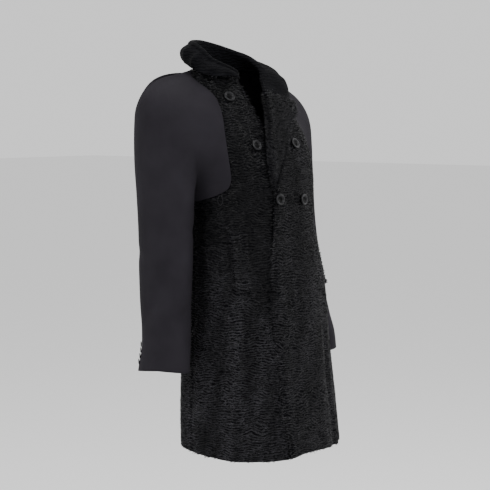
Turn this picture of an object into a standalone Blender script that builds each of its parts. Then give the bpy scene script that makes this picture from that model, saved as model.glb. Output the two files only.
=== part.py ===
"""A double-breasted coat of faux broadtail fur with plain raglan sleeves, held open as on a figure.

Metres, +Z up. The front faces -Y and the wearer's left is +X. The origin is the middle of the
neck at the height of the shoulders. Angles run round the body in degrees, from 0 at the front,
plus toward the wearer's left. Run with: blender --background --python part.py
"""

import math

import bpy
import numpy as np

# ---- driving sizes ----
HEM_Z = -0.844
UNDERARM_Z = -0.285
FUR_WALL = 0.004
CLOTH_WALL = 0.0025
SEAM_GAP = 0.0003
SEAM_STEEP_Z = -0.210  # below this the raglan seams run flatter and flatter to the underarm
NECK_GAP = 0.0006  # between the panels' neck edges and the collar's stand
LAYER_GAP = 0.0018  # between the two fronts where one lies on the other
FUR_PROUD = 0.001  # the pile stands this far above the sleeve cloth beside it
SIDE_SEAM = 97.0
UNDER_LAP_X = 0.085  # edge of the right front, hidden under the left one
LAP_BLEND = (34.0, 58.0)  # the left front comes down onto the body between these angles
BUTTON_RADIUS = 0.0125
BUTTON_SIDES = 14
CUFF_BUTTON_RADIUS = 0.006
CUFF_BUTTON_SIDES = 8

# Level sections of the body: half width, reach to the front and to the back, squareness.
BODY = (
    # z      half_x  front   back   square
    (-0.844, 0.2100, 0.2430, 0.0670, 2.0),
    (-0.764, 0.2065, 0.2344, 0.0700, 2.0),
    (-0.677, 0.1990, 0.2250, 0.0730, 2.0),
    (-0.557, 0.1870, 0.2155, 0.0800, 2.0),
    (-0.466, 0.1770, 0.2070, 0.0870, 2.0),
    (-0.391, 0.1680, 0.1925, 0.0940, 2.0),
    (-0.335, 0.1625, 0.1790, 0.0990, 2.1),
    (-0.268, 0.1600, 0.1740, 0.1060, 2.3),
    (-0.210, 0.1630, 0.1600, 0.1120, 2.7),
    (-0.157, 0.1660, 0.1380, 0.1160, 3.0),
    (-0.120, 0.1660, 0.1170, 0.1150, 3.0),
    (-0.090, 0.1610, 0.0990, 0.1110, 2.8),
    (-0.060, 0.1480, 0.0820, 0.1030, 2.5),
    (-0.030, 0.1250, 0.0700, 0.0930, 2.2),
    (0.000, 0.1040, 0.0620, 0.0860, 2.0),
    (0.030, 0.0850, 0.0560, 0.0800, 2.0),
)

# Soft folds that hang from below the chest: a trough is plus and a ridge is minus.
FOLDS = (
    # angle  lean  width  depth  z_top  z_full
    (-137.0, -4.0, 9.0, 0.0100, -0.30, -0.70),
    (-112.0, 3.0, 8.0, -0.0040, -0.45, -0.75),
    (-84.0, 2.0, 8.0, 0.0060, -0.42, -0.78),
    (-58.0, -3.0, 7.0, 0.0040, -0.50, -0.74),
    (-42.0, -9.0, 8.0, 0.0090, -0.40, -0.66),
    (-27.0, -2.0, 6.0, -0.0045, -0.16, -0.40),
    (9.0, 2.0, 8.0, -0.0030, -0.46, -0.80),
    (27.0, 3.0, 6.0, 0.0070, -0.44, -0.66),
    (44.0, 2.0, 6.0, 0.0065, -0.50, -0.72),
    (68.0, 3.0, 9.0, -0.0040, -0.40, -0.75),
    (92.0, -2.0, 8.0, 0.0070, -0.42, -0.76),
    (122.0, 3.0, 9.0, 0.0090, -0.34, -0.72),
    (151.0, -3.0, 8.0, -0.0050, -0.40, -0.76),
    (176.0, 3.0, 9.0, 0.0080, -0.36, -0.74),
)

# Where the raglan seams cross each height, as angles from the front.
RAGLAN = (
    # z      front  back
    (-0.285, 97.0, 97.0),
    (-0.278, 86.0, 109.0),
    (-0.268, 73.0, 120.0),
    (-0.255, 63.0, 128.0),
    (-0.235, 58.0, 134.0),
    (-0.210, 57.0, 138.0),
    (-0.180, 56.5, 141.0),
    (-0.150, 56.0, 143.0),
    (-0.121, 55.5, 144.5),
    (-0.095, 55.5, 145.0),
    (-0.070, 57.5, 145.0),
    (-0.045, 64.0, 144.5),
    (-0.026, 76.0, 144.0),
    (-0.012, 90.0, 143.0),
    (0.000, 104.0, 141.5),
    (0.012, 117.0, 140.0),
)

# Heights of the level rows below the underarm.
SKIRT_ROWS = (
    -0.844, -0.790, -0.735, -0.680, -0.625, -0.570, -0.520, -0.475, -0.430, -0.385, -0.345, -0.312,
)

# How far the hem rises above HEM_Z, round the body.
HEM = (
    # angle   rise
    (-180.0, 0.028),
    (-140.0, 0.027),
    (-115.0, 0.023),
    (-95.0, 0.016),
    (-80.0, 0.008),
    (-60.0, 0.001),
    (-38.0, 0.001),
    (-27.0, 0.004),
    (-15.0, 0.010),
    (0.0, 0.012),
    (50.0, 0.010),
    (95.0, 0.012),
    (140.0, 0.024),
    (180.0, 0.028),
)
HEM_RISE_TOP = -0.600

# The inner edge of the right front: at the neck, down the open neckline, then under the left front.
RIGHT_EDGE = (
    # z      angle
    (-0.330, 24.5),
    (-0.280, 26.0),
    (-0.235, 27.0),
    (-0.210, 24.0),
    (-0.180, 10.0),
    (-0.150, -3.0),
    (-0.121, -11.0),
    (-0.095, -15.0),
    (-0.070, -18.5),
    (-0.045, -24.0),
    (-0.026, -30.0),
    (-0.012, -46.0),
    (0.000, -74.0),
    (0.012, -106.0),
)

# The edge of the left front: from the hem up to the break, then its roll line. Its neck mirrors
# the right one.
LEFT_EDGE = (
    # z      x
    (-0.840, -0.0820),
    (-0.745, -0.0890),
    (-0.635, -0.0900),
    (-0.505, -0.0945),
    (-0.420, -0.0840),
    (-0.310, -0.0625),
    (-0.255, -0.0600),
    (-0.210, -0.0590),
    (-0.180, -0.0530),
    (-0.150, -0.0400),
    (-0.121, -0.0230),
    (-0.095, -0.0090),
    (-0.070, 0.0030),
    (-0.045, 0.0130),
)

# The folded lapel, from the break up to the gorge: its roll line, its outer edge and how far
# it stands off along the roll and at its tip.
LAPEL = (
    # roll_z   edge_z   edge_x   lift   tip
    (-0.2550, -0.2530, -0.0570, 0.0005, 0.000),
    (-0.2350, -0.2310, -0.0470, 0.0020, 0.000),
    (-0.2100, -0.2030, -0.0270, 0.0040, 0.000),
    (-0.1800, -0.1720, -0.0020, 0.0065, 0.000),
    (-0.1500, -0.1450, 0.0220, 0.0090, 0.000),
    (-0.1210, -0.1240, 0.0460, 0.0100, 0.000),
    (-0.0950, -0.1060, 0.0720, 0.0105, 0.000),
    (-0.0700, -0.0890, 0.0980, 0.0100, 0.002),
    (-0.0450, -0.0710, 0.1160, 0.0090, 0.006),
)

# The collar, from its right end round the back to its left side; its last rows run on into the lapel.
# The angle is plus all the way here: 326 is the wearer's right front and 30 the left front.
COLLAR = (
    # angle  roll_r  roll_z   edge_r  edge_z   bulge   spread
    (30.0, 0.0800, -0.0060, 0.1500, -0.0560, 0.0090, 30.0),
    (46.0, 0.0790, 0.0120, 0.1500, -0.0400, 0.0130, 20.0),
    (60.0, 0.0750, 0.0230, 0.1470, -0.0240, 0.0135, 12.0),
    (75.0, 0.0735, 0.0320, 0.1400, -0.0060, 0.0130, 5.0),
    (90.0, 0.0750, 0.0410, 0.1300, 0.0090, 0.0100, 2.0),
    (108.0, 0.0770, 0.0490, 0.1200, 0.0180, 0.0070, 0.0),
    (130.0, 0.0800, 0.0600, 0.1110, 0.0240, 0.0080, 0.0),
    (155.0, 0.0830, 0.0710, 0.1040, 0.0260, 0.0090, 0.0),
    (180.0, 0.0830, 0.0780, 0.0980, 0.0290, 0.0100, 0.0),
    (205.0, 0.0825, 0.0770, 0.0965, 0.0290, 0.0100, 0.0),
    (230.0, 0.0825, 0.0720, 0.0985, 0.0270, 0.0095, 0.0),
    (253.0, 0.0810, 0.0650, 0.1050, 0.0200, 0.0080, 0.0),
    (271.0, 0.0800, 0.0500, 0.1130, 0.0080, 0.0060, 0.0),
    (287.0, 0.0785, 0.0330, 0.1150, -0.0030, 0.0050, 0.0),
    (301.0, 0.0780, 0.0240, 0.1120, -0.0050, 0.0040, 0.0),
    (314.0, 0.0790, 0.0160, 0.1040, -0.0040, 0.0030, 0.0),
    (326.0, 0.0790, 0.0060, 0.0950, -0.0090, 0.0010, 0.0),
)
COLLAR_MIDDLE_Y = 0.012
COLLAR_ROLL = 0.0065
COLLAR_STEP = 9.0  # no two columns stand further apart than this, in degrees
COLLAR_END_STEPS = 3
STAND_STEPS = 2
FALL_STEPS = (0.3, 0.6, 0.85, 1.0)

# The arm of a sleeve, as level sections; the wearer's left arm, and the right one is its mirror.
ARM = (
    # z      x       y        half_x  half_y
    (-0.660, 0.2640, -0.0280, 0.0460, 0.0635),
    (-0.645, 0.2624, -0.0280, 0.0460, 0.0630),
    (-0.600, 0.2565, -0.0295, 0.0458, 0.0590),
    (-0.560, 0.2475, -0.0225, 0.0455, 0.0595),
    (-0.500, 0.2380, -0.0120, 0.0455, 0.0635),
    (-0.442, 0.2285, -0.0035, 0.0450, 0.0675),
    (-0.340, 0.2160, 0.0070, 0.0440, 0.0720),
    (-0.265, 0.2100, 0.0130, 0.0455, 0.0765),
    (-0.200, 0.2030, 0.0170, 0.0570, 0.0795),
    (-0.120, 0.1935, 0.0205, 0.0660, 0.0810),
    (-0.070, 0.1900, 0.0225, 0.0650, 0.0790),
)
CUFF_Z = -0.645
CUFF_RISE_OUT = 0.012  # the cuff's outer side lies this far above its inner side
CUFF_DROP_BACK = 0.006
ARM_TOP_INNER_Z = -0.262  # the arm's own tube ends here beside the body
ARM_TOP_OUTER_Z = -0.090
ARM_TOP_BACK_RISE = 0.035
ARM_ROWS = 11
SLEEVE_SEAMS = (3, 24)  # columns where the upper sleeve meets the under sleeve, before and behind
CAP_ROWS = 7
CAP_PULL = 0.60  # how far the cap runs straight on at each end, as a share of its width
CAP_FLAT = (0.78, 1.00)  # the cap comes flatter to the neck between these shares of the way round
CAP_FLAT_SHARE = 0.7
CAP_PULL_SHOULDER_ARM = 0.75
CAP_PULL_SHOULDER_SEAM = 0.50

# Each pocket welt lies on these columns of the front, counted from the side seam, and these rows.
WELT_COLUMNS = (5, 7)
WELT_ROWS = (-0.475, -0.345)
WELT_WALL = 0.003
WELT_BULGE = 0.003

FRONT_COLUMNS = 20
BACK_COLUMNS = 24
LAPEL_COLUMNS = 7
ROLL_STEPS = 4
LAPEL_SINK = 0.15  # share of a lapel's stand-off that is gone at its outer edge
ARM_END_STEP = 0.020  # the arm's direction at its top is taken over this height
SHARP_ANGLE = 40.0

# Front buttons: place across, height, and 1 for those that stand on the front that laps over.
BUTTONS = (
    # name                     x        z       layer
    ("button_right_top", -0.0880, -0.0515, 0.0),
    ("button_right_chest", -0.0770, -0.1580, 0.0),
    ("button_right_waist", -0.0480, -0.2760, 1.0),
    ("button_left_chest", 0.0460, -0.1580, 1.0),
    ("button_left_waist", 0.0310, -0.2790, 1.0),
)

# Profiles of the buttons from the cloth out: share of the radius and height.
FRONT_BUTTON = (
    (0.00, 0.0005),
    (0.22, 0.0005),
    (0.22, 0.0025),
    (0.86, 0.0028),
    (1.00, 0.0045),
    (0.90, 0.0066),
    (0.70, 0.0056),
    (0.00, 0.0050),
)
CUFF_BUTTON = ((0.00, 0.0008), (0.90, 0.0014), (1.00, 0.0026), (0.70, 0.0040), (0.00, 0.0042))

CUFF_BUTTON_HEIGHTS = (-0.588, -0.6005, -0.613, -0.6255)
CUFF_BUTTON_TURN = 232.0

# ---- looks ----
FUR_COLOUR = (0.012, 0.012, 0.014, 1.0)
CLOTH_COLOUR = (0.017, 0.016, 0.021, 1.0)
BUTTON_COLOUR = (0.010, 0.010, 0.011, 1.0)


def clear_scene():
    for thing in list(bpy.data.objects):
        bpy.data.objects.remove(thing)


def material(name, colour, roughness):
    made = bpy.data.materials.new(name)
    made.use_nodes = True
    shader = made.node_tree.nodes["Principled BSDF"]
    shader.inputs["Base Color"].default_value = colour
    shader.inputs["Roughness"].default_value = roughness
    shader.inputs["Metallic"].default_value = 0.0
    return made


# ---- smooth tables ----
def track(table, column):
    """A smooth curve through one column of a table, against the table's first column."""
    places = np.array([row[0] for row in table])
    values = np.array([row[column] for row in table])
    order = np.argsort(places)
    places, values = places[order], values[order]
    slopes = np.gradient(values, places)

    def value(place):
        place = min(max(place, places[0]), places[-1])
        i = min(int(np.searchsorted(places, place, side="right")) - 1, len(places) - 2)
        step = places[i + 1] - places[i]
        t = (place - places[i]) / step
        return (
            values[i] * (1 + 2 * t) * (1 - t) ** 2
            + slopes[i] * step * t * (1 - t) ** 2
            + values[i + 1] * t**2 * (3 - 2 * t)
            + slopes[i + 1] * step * t**2 * (t - 1)
        )

    return value


def smooth_step(low, high, value):
    t = min(max((value - low) / (high - low), 0.0), 1.0)
    return t * t * (3 - 2 * t)


body_half, body_front, body_back, body_square = (track(BODY, i) for i in range(1, 5))
collar_tracks = [track(COLLAR, i) for i in range(1, 7)]
arm_x, arm_y, arm_half_x, arm_half_y = (track(ARM, i) for i in range(1, 5))


# ---- the body's surface ----
def fold_depth(angle, z):
    """How far the folds push the cloth inward at a place on the body."""
    depth = 0.0
    for place, lean, width, most, z_top, z_full in FOLDS:
        grown = smooth_step(0.0, 1.0, (z_top - z) / (z_top - z_full))
        centre = place + lean * (z_top - z) / (z_top - HEM_Z)
        apart = (angle - centre + 180.0) % 360.0 - 180.0
        depth += most * grown * math.exp(-((apart / width) ** 2))
    return depth


def body_point(angle, z):
    """A point of the body's outer surface."""
    half, front, back, square = (f(z) for f in (body_half, body_front, body_back, body_square))
    middle, depth = (back - front) / 2, (back + front) / 2
    across, along = math.sin(math.radians(angle)), math.cos(math.radians(angle))
    reach = (abs(across / half) ** square + abs(along / depth) ** square) ** (-1 / square)
    reach -= fold_depth(angle, z)
    return np.array((reach * across, middle - reach * along, z))


def body_normal(angle, z):
    turn, rise = 0.5, 0.002
    round_ = body_point(angle + turn, z) - body_point(angle - turn, z)
    up = body_point(angle, z + rise) - body_point(angle, z - rise)
    normal = np.cross(round_, up)
    return normal / np.linalg.norm(normal)


def on_body(angle, z, lift):
    return body_point(angle, z) + body_normal(angle, z) * lift


def angle_at(x, z):
    """The angle at which the front of the body lies at the given distance across."""
    low, high = -89.0, 89.0
    for _ in range(40):
        mid = (low + high) / 2
        if body_point(mid, z)[0] < x:
            low = mid
        else:
            high = mid
    return (low + high) / 2


# ---- meshes ----
def new_object(name, points, faces, finish):
    mesh = bpy.data.meshes.new(name)
    mesh.from_pydata([tuple(p) for p in points], [], faces)
    mesh.update()
    made = bpy.data.objects.new(name, mesh)
    bpy.context.scene.collection.objects.link(made)
    mesh.materials.append(finish)
    mesh.shade_smooth()
    mesh.set_sharp_from_angle(angle=math.radians(SHARP_ANGLE))
    return made


def sheet_solid(name, outer, inner, finish):
    """A closed wall between two grids of points."""
    rows, columns = len(outer), len(outer[0])
    points = [np.asarray(p) for grid in (outer, inner) for row in grid for p in row]
    shift = rows * columns
    faces = []

    def quad(a, b, c, d):
        """Two triangles that meet on the shorter diagonal."""
        if np.linalg.norm(points[a] - points[c]) <= np.linalg.norm(points[b] - points[d]):
            faces.extend(((a, b, c), (a, c, d)))
        else:
            faces.extend(((b, c, d), (b, d, a)))

    for i in range(rows - 1):
        for j in range(columns - 1):
            a, b = i * columns + j, i * columns + j + 1
            c, d = b + columns, a + columns
            quad(a, b, c, d)
            quad(shift + d, shift + c, shift + b, shift + a)
    near = [(0, j) for j in range(columns)]
    right = [(i, columns - 1) for i in range(rows)]
    far = [(rows - 1, j) for j in range(columns)][::-1]
    left = [(i, 0) for i in range(rows)][::-1]
    for loop in (near, right, far, left):
        for (i, j), (m, n) in zip(loop, loop[1:]):
            a, b = i * columns + j, m * columns + n
            # The two walls that meet at a seam are split the same way, from the lower outer point.
            if points[a][2] <= points[b][2]:
                faces.extend(((b, a, shift + b), (a, shift + a, shift + b)))
            else:
                faces.extend(((b, a, shift + a), (b, shift + a, shift + b)))
    return new_object(name, points, faces, finish)


def turned_solid(name, profile, sides, centre, normal, finish):
    """A closed round solid from a profile of (radius, height) pairs that starts and ends on its axis."""
    normal = normal / np.linalg.norm(normal)
    across = np.cross(normal, (0.0, 0.0, 1.0))
    across /= np.linalg.norm(across)
    up = np.cross(normal, across)
    points = [centre + normal * profile[0][1]]
    for radius, height in profile[1:-1]:
        for k in range(sides):
            turn = 2 * math.pi * k / sides
            spoke = across * math.cos(turn) + up * math.sin(turn)
            points.append(centre + normal * height + spoke * radius)
    points.append(centre + normal * profile[-1][1])
    last = len(points) - 1
    faces = []
    for k in range(sides):
        n = (k + 1) % sides
        faces.append((0, 1 + n, 1 + k))
        for ring in range(len(profile) - 3):
            a, b = 1 + ring * sides, 1 + (ring + 1) * sides
            faces.append((a + k, a + n, b + n, b + k))
        a = 1 + (len(profile) - 3) * sides
        faces.append((a + k, a + n, last))
    return new_object(name, points, faces, finish)


# ---- the fur panels ----
BODY_ROWS = SKIRT_ROWS + tuple(row[0] for row in RAGLAN)
raglan_front = {row[0]: row[1] for row in RAGLAN}
raglan_back = {row[0]: row[2] for row in RAGLAN}
right_edge = track(RIGHT_EDGE, 1)
left_edge_x = track(LEFT_EDGE, 1)
hem_rise = track(HEM, 1)


def gap_angle(z):
    """Half a seam's gap, as an angle round the body."""
    return math.degrees(SEAM_GAP / 2 / body_half(z))


def side_limit(z, seams):
    return seams.get(z, SIDE_SEAM) - gap_angle(z) * (1 if seams is raglan_front else -1)


def right_limits(z):
    start = -side_limit(z, raglan_front)
    end = angle_at(UNDER_LAP_X, z) if z < RIGHT_EDGE[0][0] else right_edge(z)
    return start, end


def left_limits(z):
    start = -right_edge(z) if z > LEFT_EDGE[-1][0] else angle_at(left_edge_x(z), z)
    return start, side_limit(z, raglan_front)


def back_limits(z):
    start = side_limit(z, raglan_back)
    return start, 360.0 - start


def lap_lift(angle):
    """How far the left front stands out from the body, to clear the right front under it."""
    return (FUR_WALL + LAYER_GAP) * (1 - smooth_step(*LAP_BLEND, angle))


def no_lift(_angle):
    return 0.0


def hem_lifted(angle, z):
    """The height of a row, raised toward the hem as far as the hem rises there."""
    share = smooth_step(0.0, 1.0, (HEM_RISE_TOP - z) / (HEM_RISE_TOP - HEM_Z))
    return z + hem_rise((angle + 180.0) % 360.0 - 180.0) * share


def panel_places(limits, columns):
    """The angle and height of each point of a panel's grid, row by row."""
    places = []
    for z in BODY_ROWS:
        start, end = limits(z)
        angles = [start + (end - start) * j / columns for j in range(columns + 1)]
        places.append([(a, hem_lifted(a, z)) for a in angles])
    return places


def wall_on(places, lift, wall):
    """Two grids over the given places: the outer one lifted off the body, the inner one a wall below."""
    outer = [[on_body(a, z, lift(a)) for a, z in row] for row in places]
    inner = [[on_body(a, z, lift(a) - wall) for a, z in row] for row in places]
    return outer, inner


def pocket_welt(name, limits, lift, mirrored, finish):
    """A welt that lies on the front's own points, moved out, and swells a little along its middle."""
    first, last = WELT_COLUMNS
    if mirrored:
        first, last = FRONT_COLUMNS - last, FRONT_COLUMNS - first
    rows = [i for i, z in enumerate(BODY_ROWS) if WELT_ROWS[0] <= z <= WELT_ROWS[1]]
    places = [panel_places(limits, FRONT_COLUMNS)[i][first : last + 1] for i in rows]
    outer, inner = [], []
    for row in places:
        middle = len(row) // 2
        swell = [WELT_WALL + (WELT_BULGE if j == middle else 0.0) for j in range(len(row))]
        inner.append([on_body(a, z, lift(a) + SEAM_GAP) for a, z in row])
        outer.append([on_body(a, z, lift(a) + SEAM_GAP + s) for (a, z), s in zip(row, swell)])
    return sheet_solid(name, outer, inner, finish)


# ---- the folded lapel ----
def lapel_row(place, turns, laid):
    """Both faces of the lapel at one height: a tight half turn at the roll line, then laid to the left."""
    roll_z, edge_z, edge_x, rise, tip = place
    start, end = angle_at(left_edge_x(roll_z), roll_z), angle_at(edge_x, edge_z)
    base = lap_lift(start)
    radius = FUR_WALL + rise / 2
    face, under = [], []
    for turn in turns:
        for row, r in ((face, radius), (under, radius - FUR_WALL)):
            side = -math.degrees((r * math.sin(turn) + SEAM_GAP) / body_half(roll_z))
            row.append(on_body(start + side, roll_z, base - FUR_WALL + radius - r * math.cos(turn)))
    for t in laid:
        z = roll_z + (edge_z - roll_z) * t
        angle = start + (end - start) * t
        lift = base * (1 - t) + lap_lift(angle) * t + rise * (1 - LAPEL_SINK * t * t) + tip * t * t + LAYER_GAP
        face.append(on_body(angle, z, lift + FUR_WALL))
        under.append(on_body(angle, z, lift))
    return np.array(face), np.array(under)


def lapel_grid():
    turns = [math.pi * step / ROLL_STEPS for step in range(ROLL_STEPS + 1)]
    laid = [step / LAPEL_COLUMNS for step in range(1, LAPEL_COLUMNS + 1)]
    return zip(*(lapel_row(place, turns, laid) for place in LAPEL))


# ---- the collar ----
def neck_points(lift):
    """The corners of one side's neck edges, from front to back: angles, inner and outer points."""
    rows = [(-right_edge(z), z) for z, _, _ in RAGLAN if z > LEFT_EDGE[-1][0]]
    top_z, front, back = RAGLAN[-1]
    rows.append((front, top_z))
    columns = BACK_COLUMNS // 2
    rows += [(back + (180.0 - back) * j / columns, top_z) for j in range(columns + 1)]
    inner, outer = ([on_body(a, z, lift(a) - wall) for a, z in rows] for wall in (FUR_WALL, 0.0))
    return [angle for angle, _ in rows], np.array(inner), np.array(outer)


def neck_seam(turn, necks):
    """Where the straight edges between those corners pass the given angle: the inner and the outer point."""
    angles, *edges = necks[int(turn < 0)]
    side = math.copysign(1.0, turn), 1.0, 1.0
    return [side * np.array([np.interp(abs(turn), angles, axis) for axis in edge.T]) for edge in edges]


def collar_section(angle, necks):
    """Both faces of the band at one angle: up from the neck seam, over the roll and down the fall."""
    roll_r, roll_z, edge_r, edge_z, bulge, spread = (f(angle) for f in collar_tracks)
    turn = angle if angle <= 180.0 else angle - 360.0
    seams = neck_seam(turn, necks)
    seam = (seams[0] + seams[1]) / 2
    seam_r = math.hypot(seam[0], seam[1] - COLLAR_MIDDLE_Y)
    seam_z = seam[2] + NECK_GAP
    top = roll_z - COLLAR_ROLL
    line = []
    for step in range(STAND_STEPS):
        t = step / STAND_STEPS
        line.append((seam_r + (roll_r - COLLAR_ROLL - seam_r) * t, seam_z + (top - seam_z) * t))
    for step in range(ROLL_STEPS + 1):
        t = math.pi * (1 - step / ROLL_STEPS)
        line.append((roll_r + COLLAR_ROLL * math.cos(t), top + COLLAR_ROLL * math.sin(t)))
    fall_r = roll_r + COLLAR_ROLL
    for t in FALL_STEPS:
        bow = bulge * math.sin(math.pi * t)
        line.append((fall_r + (edge_r - fall_r) * t + bow, top + (edge_z - top) * t + bow / 2))
    line = np.array(line)
    along = np.gradient(line, axis=0)
    along /= np.linalg.norm(along, axis=1)[:, None]
    side = np.stack([-along[:, 1], along[:, 0]], axis=1) * FUR_WALL / 2
    turns = turn + spread * np.array([0.0] * (len(line) - len(FALL_STEPS)) + list(FALL_STEPS))
    turns = np.radians(turns)
    faces = []
    for seam, (r, z) in zip(seams, ((line + side).T, (line - side).T)):
        face = np.stack((r * np.sin(turns), COLLAR_MIDDLE_Y - r * np.cos(turns), z), axis=1)
        face[0] = seam + (0.0, 0.0, NECK_GAP)
        faces.append(face)
    return faces


def collar_grid():
    """A band round the neck whose left end runs down into the lapel's top."""
    necks = neck_points(lap_lift), neck_points(no_lift)
    marks = [angle for angle in necks[0][0] if angle <= RAGLAN[-1][2]]
    marks = [COLLAR[-1][0]] + [360.0 - angle for angle in marks[1:]] + [180.0] + marks[::-1]
    angles = [COLLAR[-1][0]]
    for start, end in zip(marks, marks[1:]):
        steps = math.ceil(abs(end - start) / COLLAR_STEP)
        angles += [start + (end - start) * j / steps for j in range(1, steps + 1)]
    faces = [list(face) for face in zip(*(collar_section(angle, necks) for angle in angles))]
    steps = STAND_STEPS + ROLL_STEPS
    turns = [math.pi * step / steps for step in range(steps + 1)]
    ends, below = (lapel_row(place, turns, FALL_STEPS) for place in (LAPEL[-1], LAPEL[-2]))
    for face, end, before in zip(faces, ends, below):
        away = (end - before) / np.linalg.norm(end - before, axis=1)[:, None]
        goal = end + away * SEAM_GAP * 2
        start = face[-1]
        for step in range(1, COLLAR_END_STEPS + 1):
            face.append(start + (goal - start) * step / COLLAR_END_STEPS)
    return faces[1], faces[0]


# ---- the sleeves ----
def arm_point(turn, z):
    """A point of the left arm's surface; turn runs from the inner side toward the front."""
    t = math.radians(turn)
    return np.array(
        (arm_x(z) - arm_half_x(z) * math.cos(t), arm_y(z) - arm_half_y(z) * math.sin(t), z)
    )


def seam_loop():
    """The raglan seam round the left sleeve: up the front, over the neck point and down the back."""
    front, back = [], []
    for z, front_angle, back_angle in RAGLAN:
        raised = z + SEAM_GAP * (1 - smooth_step(UNDERARM_Z, SEAM_STEEP_Z, z))
        front.append((front_angle + gap_angle(z), raised))
        back.append((back_angle - gap_angle(z), raised))
    front[0] = (SIDE_SEAM, UNDERARM_Z + SEAM_GAP)
    return front + back[:0:-1]


def sleeve_grid(side):
    """Rows from the cuff up the arm, then over the shoulder to the raglan seam."""
    loop = seam_loop()
    count = len(loop)
    ends = [on_body(angle, z, -FUR_PROUD) for angle, z in loop]
    normals = [body_normal(angle, z) for angle, z in loop]
    lengths = [np.linalg.norm(ends[(k + 1) % count] - ends[k]) for k in range(count)]
    turns = [360.0 * sum(lengths[:k]) / sum(lengths) for k in range(count)]
    outer = [[None] * count for _ in range(ARM_ROWS + CAP_ROWS)]
    for k, (turn, end, normal) in enumerate(zip(turns, ends, normals)):
        outward = (1 - math.cos(math.radians(turn))) / 2
        backward = max(0.0, -math.sin(math.radians(turn)))
        low = CUFF_Z + CUFF_RISE_OUT * (outward - 0.5) - CUFF_DROP_BACK * backward
        high = ARM_TOP_INNER_Z + (ARM_TOP_OUTER_Z - ARM_TOP_INNER_Z) * outward
        high += ARM_TOP_BACK_RISE * backward
        for i in range(ARM_ROWS):
            outer[i][k] = arm_point(turn, low + (high - low) * i / (ARM_ROWS - 1))
        start = outer[ARM_ROWS - 1][k]
        up = start - arm_point(turn, high - ARM_END_STEP)
        up /= np.linalg.norm(up)
        along = ends[(k + 1) % count] - ends[k - 1]
        inward = np.cross(normal, along / np.linalg.norm(along))
        level = (end - start) * (1.0, 1.0, 0.0)
        flat = CAP_FLAT_SHARE * smooth_step(*CAP_FLAT, outward)
        inward = inward * (1 - flat) + level / np.linalg.norm(level) * flat
        reach = np.linalg.norm(end - start)
        pull_arm = reach * (CAP_PULL + CAP_PULL_SHOULDER_ARM * outward**2)
        pull_seam = reach * (CAP_PULL + CAP_PULL_SHOULDER_SEAM * outward**2)
        for i in range(1, CAP_ROWS + 1):
            t = i / CAP_ROWS
            outer[ARM_ROWS - 1 + i][k] = (
                start * (1 + 2 * t) * (1 - t) ** 2
                + up * pull_arm * t * (1 - t) ** 2
                + end * t**2 * (3 - 2 * t)
                + inward * pull_seam * t**2 * (t - 1)
            )
    grid = np.array(outer)
    round_ = np.roll(grid, -1, axis=1) - np.roll(grid, 1, axis=1)
    rising = np.gradient(grid, axis=0)
    walls = np.cross(rising, round_)
    walls /= np.linalg.norm(walls, axis=2)[:, :, None]
    walls[-1] = -np.array(normals)
    inner = grid + walls * CLOTH_WALL
    mirror = np.array((side, 1.0, 1.0))
    return grid * mirror, inner * mirror


def sleeve_piece(grid, first, last):
    """The columns from first to last, drawn in by half a seam's gap at both sides."""
    piece = np.take(grid, range(first, last + 1), axis=1, mode="wrap")
    for edge, beside in ((0, 1), (-1, -2)):
        away = piece[:, beside] - piece[:, edge]
        away = away / np.linalg.norm(away, axis=1)[:, None]
        piece[:, edge] = piece[:, edge] + away * SEAM_GAP / 2
    return piece


# ---- the buttons ----
def front_button(name, x, z, layer, finish):
    """A turned button with a raised rim, on a short shank that stands on the cloth."""
    angle = angle_at(x, z)
    lift = (FUR_WALL + LAYER_GAP) * layer
    centre, normal = on_body(angle, z, lift), body_normal(angle, z)
    profile = [(share * BUTTON_RADIUS, height) for share, height in FRONT_BUTTON]
    return turned_solid(name, profile, BUTTON_SIDES, centre, normal, finish)


def cuff_button(name, z, side, finish):
    """A small domed button that stands on the back edge of the sleeve."""
    place = arm_point(CUFF_BUTTON_TURN, z)
    ahead = arm_point(CUFF_BUTTON_TURN + 2.0, z) - arm_point(CUFF_BUTTON_TURN - 2.0, z)
    normal = np.cross((0.0, 0.0, 1.0), ahead)
    normal *= math.copysign(1.0, normal @ (place - (arm_x(z), arm_y(z), z)))
    mirror = np.array((side, 1.0, 1.0))
    profile = [(share * CUFF_BUTTON_RADIUS, height) for share, height in CUFF_BUTTON]
    return turned_solid(name, profile, CUFF_BUTTON_SIDES, place * mirror, normal * mirror, finish)


def build():
    clear_scene()
    fur = material("faux_fur", FUR_COLOUR, 0.75)
    cloth = material("plain_cloth", CLOTH_COLOUR, 0.85)
    plastic = material("button", BUTTON_COLOUR, 0.25)

    back = panel_places(back_limits, BACK_COLUMNS)
    right = panel_places(right_limits, FRONT_COLUMNS)
    left = panel_places(left_limits, FRONT_COLUMNS)
    sheet_solid("back", *wall_on(back, no_lift, FUR_WALL), fur)
    sheet_solid("front_right", *wall_on(right, no_lift, FUR_WALL), fur)
    sheet_solid("front_left", *wall_on(left, lap_lift, FUR_WALL), fur)
    sheet_solid("lapel_left", *lapel_grid(), fur)
    sheet_solid("collar", *collar_grid(), fur)
    pocket_welt("pocket_welt_right", right_limits, no_lift, False, fur)
    pocket_welt("pocket_welt_left", left_limits, lap_lift, True, fur)
    for side_name, side in (("right", -1.0), ("left", 1.0)):
        grids = sleeve_grid(side)
        before, behind = SLEEVE_SEAMS
        columns = len(grids[0][0])
        for place, first, last in (("upper", before, behind), ("under", behind, columns + before)):
            outer, inner = (sleeve_piece(grid, first, last)[:, :: int(side)] for grid in grids)
            sheet_solid(f"sleeve_{place}_{side_name}", outer, inner, cloth)
        for number, z in enumerate(CUFF_BUTTON_HEIGHTS, start=1):
            cuff_button(f"cuff_button_{side_name}_{number}", z, side, plastic)
    for row in BUTTONS:
        front_button(*row, plastic)


build()
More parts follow.
